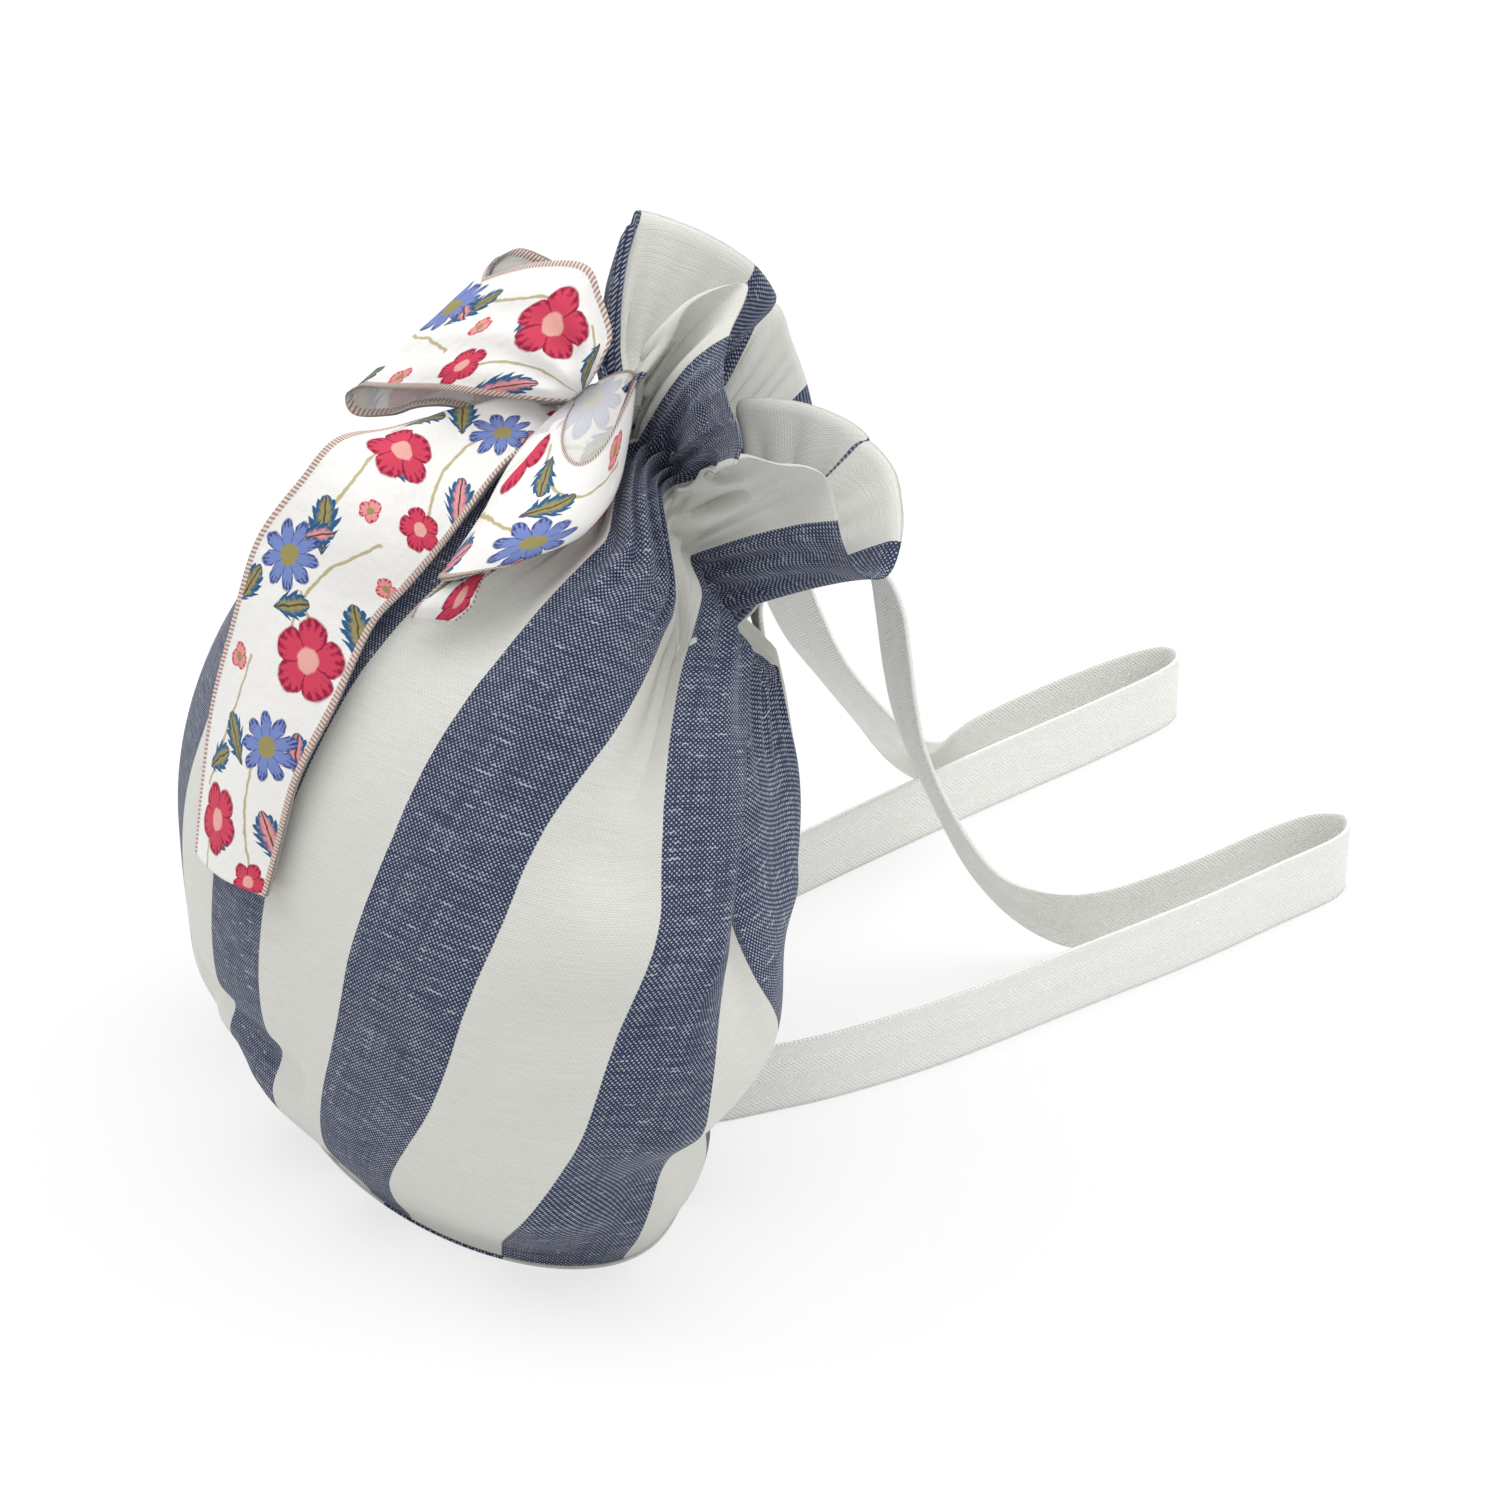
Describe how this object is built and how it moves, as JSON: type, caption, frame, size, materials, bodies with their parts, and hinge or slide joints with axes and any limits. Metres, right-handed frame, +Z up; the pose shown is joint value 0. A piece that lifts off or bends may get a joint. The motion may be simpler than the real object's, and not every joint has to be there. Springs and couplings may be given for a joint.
{
  "type": "drawstring backpack",
  "caption": "Small striped cloth backpack with a frilled neck gathered by a printed sash tied in a bow, on an oval base, with tape straps for the shoulders.",
  "frame": {"origin": "middle of the oval base, on its underside", "axes": "+Z up, -Y towards the front with the bow, +Y towards the straps, +X to the bag's right side seam as seen from the front"},
  "size_m": [0.245, 0.4199, 0.2837],
  "materials": {
    "stripe_cloth": "plain weave in wide blue and white stripes",
    "sash_print": "thin cotton with a scattered flower print and overlocked edges",
    "strap_tape": "off-white cotton twill tape"
  },
  "bodies": {
    "bag": {"front_panel": "stripe_cloth", "back_panel": "stripe_cloth", "base_panel": "stripe_cloth", "front_facing": "stripe_cloth", "back_facing": "stripe_cloth", "sash_band": "sash_print", "bow_knot": "sash_print", "strap_right_top_tack": "strap_tape", "strap_left_top_tack": "strap_tape", "strap_right_low_tack": "strap_tape", "strap_left_low_tack": "strap_tape"},
    "right_strap": {"strap_right": "strap_tape"},
    "left_strap": {"strap_left": "strap_tape"},
    "upper_loop": {"bow_loop_upper": "sash_print"},
    "lower_loop": {"bow_loop_lower": "sash_print", "sash_tail_short": "sash_print"},
    "long_end": {"sash_tail_long": "sash_print"}
  },
  "joints": [
    {"name": "strap_right_swing", "type": "hinge", "parent": "bag", "child": "right_strap", "pos_m": [0.0214, 0.0946, 0.1537], "axis": [0.1399, -0.2475, -0.9587], "range_deg": [0, 35]},
    {"name": "strap_left_swing", "type": "hinge", "parent": "bag", "child": "left_strap", "pos_m": [-0.0178, 0.1026, 0.1622], "axis": [0.1775, 0.2803, 0.9434], "range_deg": [0, 35]},
    {"name": "loop_upper_lift", "type": "hinge", "parent": "bag", "child": "upper_loop", "pos_m": [-0.0016, 0.0521, 0.2467], "axis": [-0.1428, 0.7677, 0.6247], "range_deg": [0, 22]},
    {"name": "loop_lower_lift", "type": "hinge", "parent": "bag", "child": "lower_loop", "pos_m": [0.0063, 0.0475, 0.2405], "axis": [-0.9515, 0.2216, 0.2133], "range_deg": [0, 35]},
    {"name": "tail_long_lift", "type": "hinge", "parent": "bag", "child": "long_end", "pos_m": [-0.0071, 0.055, 0.2366], "axis": [-0.9885, 0.0219, -0.1493], "range_deg": [0, 10]}
  ]
}
